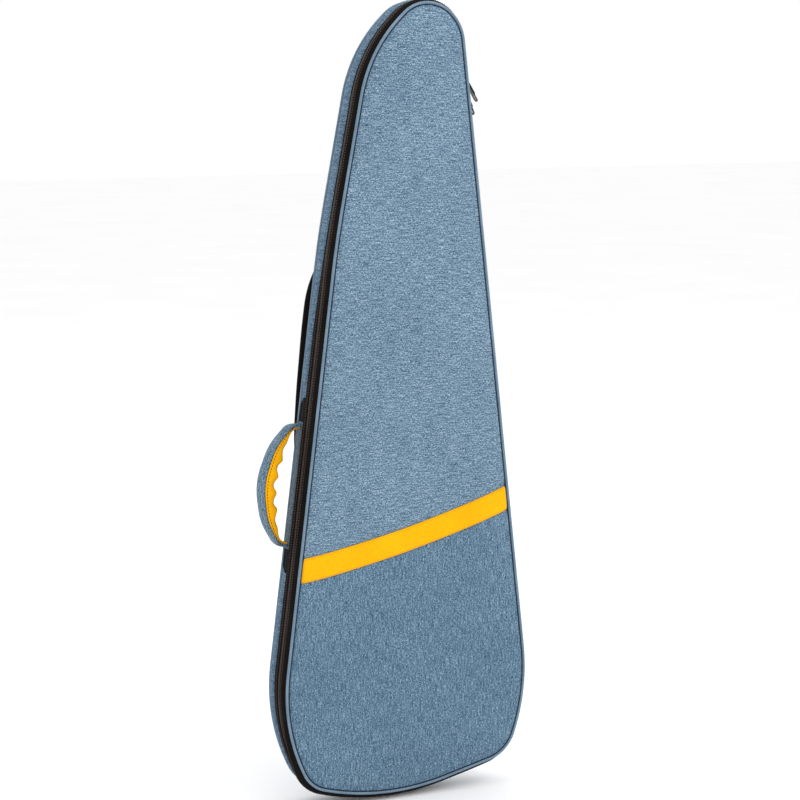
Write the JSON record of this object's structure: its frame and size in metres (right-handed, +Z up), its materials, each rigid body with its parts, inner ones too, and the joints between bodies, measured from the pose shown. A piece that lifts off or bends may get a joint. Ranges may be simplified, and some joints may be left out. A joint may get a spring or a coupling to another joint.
{
  "type": "padded gig bag",
  "caption": "Padded, tapered zip-around instrument bag with a hinged front, a side carry handle, a grab loop and two backpack straps.",
  "frame": {"origin": "inside of the grab loop's top, where the bag hangs", "axes": "+Z up along the bag, from its wide end to its narrow end; +Y out of the back, towards the shoulder straps; +X towards the un-zipped side"},
  "size_m": [0.3639, 0.1487, 1.0276],
  "materials": {
    "blue_fabric": "matte woven",
    "piping": "matte woven",
    "foam": "closed-cell foam",
    "lining": "smooth woven",
    "zipper_tape": "woven tape",
    "zipper_coil": "satin nylon coil",
    "slider_metal": "black enamel",
    "yellow_cloth": "matte woven",
    "black_webbing": "ribbed webbing",
    "mesh_backing": "air mesh",
    "buckle_plastic": "satin"
  },
  "bodies": {
    "body": {"back_panel_fabric": "blue_fabric", "back_panel_foam": "foam", "back_panel_lining": "lining", "back_piping": "piping", "gusset_zip_side_fabric": "blue_fabric", "gusset_zip_side_foam": "foam", "gusset_zip_side_lining": "lining", "gusset_hinge_side_fabric": "blue_fabric", "gusset_hinge_side_foam": "foam", "gusset_hinge_side_lining": "lining", "zipper_tape_rear": "zipper_tape", "zipper_teeth_rear": "zipper_coil", "zipper_parked_tape": "zipper_tape", "zipper_parked_teeth": "zipper_coil", "zipper_end_stops": "zipper_coil", "handle_patch": "zipper_tape", "handle_base": "blue_fabric", "back_web_band": "black_webbing", "right_strap_root": "blue_fabric", "left_strap_root": "blue_fabric", "right_web_end": "black_webbing", "left_web_end": "black_webbing", "right_strap_anchor": "blue_fabric", "left_strap_anchor": "blue_fabric"},
    "lid": {"front_panel_upper": "blue_fabric", "front_band": "yellow_cloth", "front_panel_lower": "blue_fabric", "front_panel_foam": "foam", "front_panel_lining": "lining", "front_piping": "piping", "zipper_tape_front": "zipper_tape", "zipper_teeth_front": "zipper_coil"},
    "upper_slider": {"upper_slider": "slider_metal"},
    "lower_slider": {"lower_slider": "slider_metal"},
    "upper_pull_tab": {"upper_pull_tab": "slider_metal"},
    "lower_pull_tab": {"lower_pull_tab": "slider_metal"},
    "carry_handle": {"handle_cover": "blue_fabric", "handle_grip": "yellow_cloth"},
    "grab_loop": {"grab_loop": "black_webbing"},
    "right_strap": {"right_pad_fabric": "blue_fabric", "right_pad_foam": "foam", "right_pad_backing": "mesh_backing", "right_pad_binding": "black_webbing", "right_strap_tab": "black_webbing", "right_lower_web": "black_webbing"},
    "right_buckle": {"right_ladder_lock": "buckle_plastic", "right_web_turn": "black_webbing"},
    "right_tail": {"right_tail": "black_webbing"},
    "left_strap": {"left_pad_fabric": "blue_fabric", "left_pad_foam": "foam", "left_pad_backing": "mesh_backing", "left_pad_binding": "black_webbing", "left_strap_tab": "black_webbing", "left_lower_web": "black_webbing"},
    "left_buckle": {"left_ladder_lock": "buckle_plastic", "left_web_turn": "black_webbing"},
    "left_tail": {"left_tail": "black_webbing"}
  },
  "joints": [
    {"name": "lid_hinge", "type": "hinge", "parent": "body", "child": "lid", "pos_m": [0.18391, -0.05675, -0.61955], "axis": [-0.1153, 0, 0.9933], "range_deg": [0, 120]},
    {"name": "upper_slider_travel", "type": "slide", "parent": "body", "child": "upper_slider", "axis": [-0.1153, 0, 0.9933], "range_m": [0, 0.018]},
    {"name": "lower_slider_travel", "type": "slide", "parent": "body", "child": "lower_slider", "axis": [-0.1153, 0, 0.9933], "range_m": [0, 0.004]},
    {"name": "upper_pull_swing", "type": "hinge", "parent": "upper_slider", "child": "upper_pull_tab", "pos_m": [0.09635, -0.043, 0.19065], "axis": [0, -1, 0], "range_deg": [0, 80]},
    {"name": "lower_pull_swing", "type": "hinge", "parent": "lower_slider", "child": "lower_pull_tab", "pos_m": [0.0988, -0.043, 0.16959], "axis": [0, -1, 0], "range_deg": [0, 24]},
    {"name": "carry_handle_swing", "type": "hinge", "parent": "body", "child": "carry_handle", "pos_m": [-0.13709, -0.0184, -0.32804], "axis": [0.1242, 0, 0.9923], "range_deg": [-60, 60]},
    {"name": "grab_loop_fold", "type": "hinge", "parent": "body", "child": "grab_loop", "pos_m": [0, 0, -0.031], "axis": [-1, 0, 0], "range_deg": [0, 60]},
    {"name": "right_strap_swing", "type": "hinge", "parent": "body", "child": "right_strap", "pos_m": [0.039, -0.0014, -0.042], "axis": [0.1595, 0.0067, -0.9872], "range_deg": [-6, 20], "deforming": ["right_strap_root"]},
    {"name": "right_buckle_tilt", "type": "hinge", "parent": "right_strap", "child": "right_buckle", "pos_m": [0.06, 0.05916, -0.35431], "axis": [1, 0, 0], "range_deg": [-5, 30]},
    {"name": "right_tail_swing", "type": "hinge", "parent": "right_buckle", "child": "right_tail", "pos_m": [0.06, 0.05782, -0.38439], "axis": [1, 0, 0], "range_deg": [-6, 70]},
    {"name": "left_strap_swing", "type": "hinge", "parent": "body", "child": "left_strap", "pos_m": [-0.039, -0.0014, -0.042], "axis": [0.1595, -0.0067, 0.9872], "range_deg": [-6, 20], "deforming": ["left_strap_root"]},
    {"name": "left_buckle_tilt", "type": "hinge", "parent": "left_strap", "child": "left_buckle", "pos_m": [-0.06, 0.05916, -0.35431], "axis": [1, 0, 0], "range_deg": [-5, 30]},
    {"name": "left_tail_swing", "type": "hinge", "parent": "left_buckle", "child": "left_tail", "pos_m": [-0.06, 0.05782, -0.38439], "axis": [1, 0, 0], "range_deg": [-6, 70]}
  ]
}
